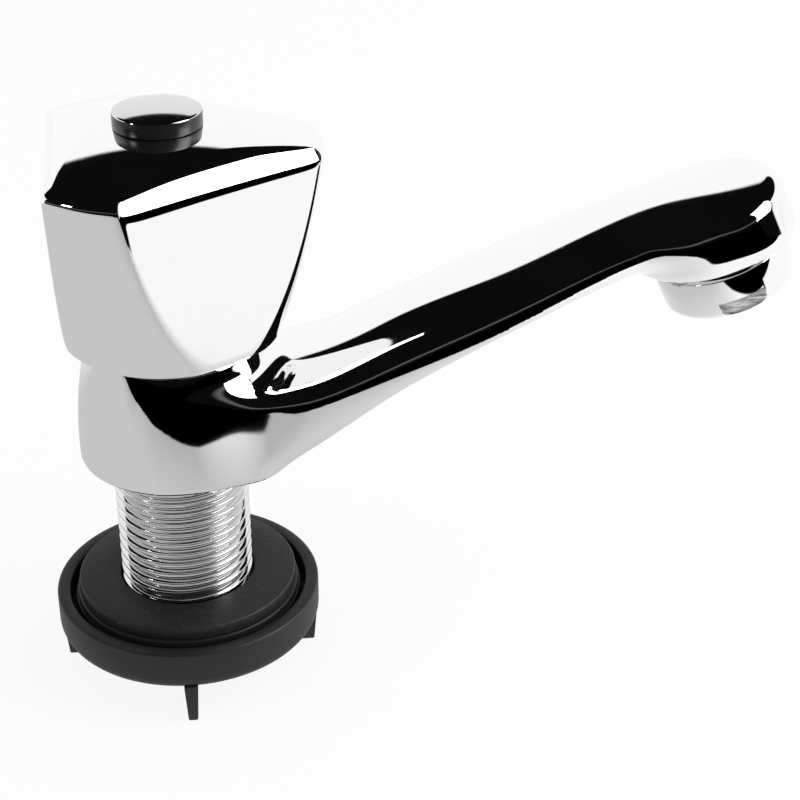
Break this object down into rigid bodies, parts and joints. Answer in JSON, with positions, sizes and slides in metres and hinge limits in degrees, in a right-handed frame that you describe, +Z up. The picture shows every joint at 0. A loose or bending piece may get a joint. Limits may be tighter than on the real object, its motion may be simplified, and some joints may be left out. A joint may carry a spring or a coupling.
{
  "type": "basin pillar tap",
  "caption": "Chromed basin pillar tap with a three-sided turning handle, rising fixed spout, aerator and threaded tail with gasket and winged backnut.",
  "frame": {"origin": "centre of the body's flat base face, on the axis of the threaded tail", "axes": "+Z up along the tail and handle axis, +X along the spout, +Y completes a right-handed frame"},
  "size_m": [0.1162, 0.045, 0.0944],
  "materials": {
    "chrome": "polished",
    "chrome_cap": "polished",
    "plated_thread": "plated, slightly worn",
    "brass": "machined",
    "steel": "bright",
    "black_rubber": "matt",
    "black_plastic": "satin",
    "white_plastic": "satin",
    "fibre": "matt"
  },
  "bodies": {
    "tap": {"tap_body": "chrome", "threaded_tail": "plated_thread", "tail_seal": "black_rubber", "headwork": "brass", "headwork_washer": "fibre", "aerator_housing": "chrome", "aerator_washer": "black_rubber", "aerator_insert": "white_plastic", "aerator_screens": "steel"},
    "turning": {"handle": "chrome", "handle_insert": "white_plastic", "handle_screw": "steel", "index_button": "chrome_cap", "spindle": "brass", "spindle_rings": "black_rubber", "spindle_clip": "steel"},
    "valve": {"valve_carrier": "brass", "seat_washer": "black_rubber", "washer_nut": "brass"},
    "washers": {"deck_gasket": "black_rubber", "slip_washer": "black_plastic"},
    "nut": {"backnut": "black_plastic"}
  },
  "joints": [
    {"name": "handle_turn", "type": "hinge", "parent": "tap", "child": "turning", "pos_m": [0, 0, 0], "axis": [0, 0, 1], "range_deg": [0, 900]},
    {"name": "valve_lift", "type": "slide", "parent": "tap", "child": "valve", "axis": [0, 0, 1], "range_m": [0, 0.0045]},
    {"name": "washer_slide", "type": "slide", "parent": "tap", "child": "washers", "axis": [0, 0, 1], "range_m": [-0.005, 0.022]},
    {"name": "nut_turn", "type": "hinge", "parent": "washers", "child": "nut", "pos_m": [0, 0, 0], "axis": [0, 0, 1], "range_deg": [-990, 4360]}
  ],
  "couplings": [
    {"joint": "valve_lift", "follows": "handle_turn", "m_per_rad": 0.00028648},
    {"joint": "washer_slide", "follows": "nut_turn", "m_per_rad": 0.00028871}
  ]
}
